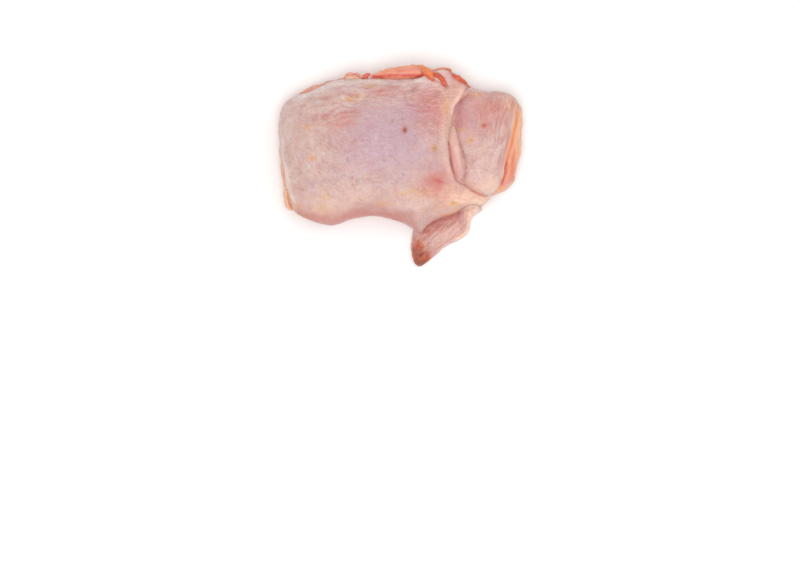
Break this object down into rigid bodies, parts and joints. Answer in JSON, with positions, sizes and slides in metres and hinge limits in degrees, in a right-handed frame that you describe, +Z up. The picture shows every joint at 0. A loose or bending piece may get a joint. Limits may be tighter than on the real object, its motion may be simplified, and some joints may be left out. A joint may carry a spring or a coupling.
{
  "type": "raw chicken thigh",
  "caption": "Raw bone-in chicken thigh with its skin on, lying skin side up, with a folded end and a skin tail spread beside it.",
  "frame": {"origin": "under the middle of the piece's box, on the surface that it rests on", "axes": "+X along the thigh, from the plump end to the folded end; +Y across it, away from the skin tail's flap; +Z up, out of the skin side"},
  "size_m": [0.1306, 0.1072, 0.0362],
  "materials": {
    "skin": "raw chicken skin: pale pink, moist and finely pored",
    "flesh": "raw thigh meat: wet, pink to orange, with fine fibres",
    "fat": "soft yellow chicken fat, wet and slightly clear"
  },
  "bodies": {
    "root": {"thigh": "skin"}
  },
  "joints": []
}
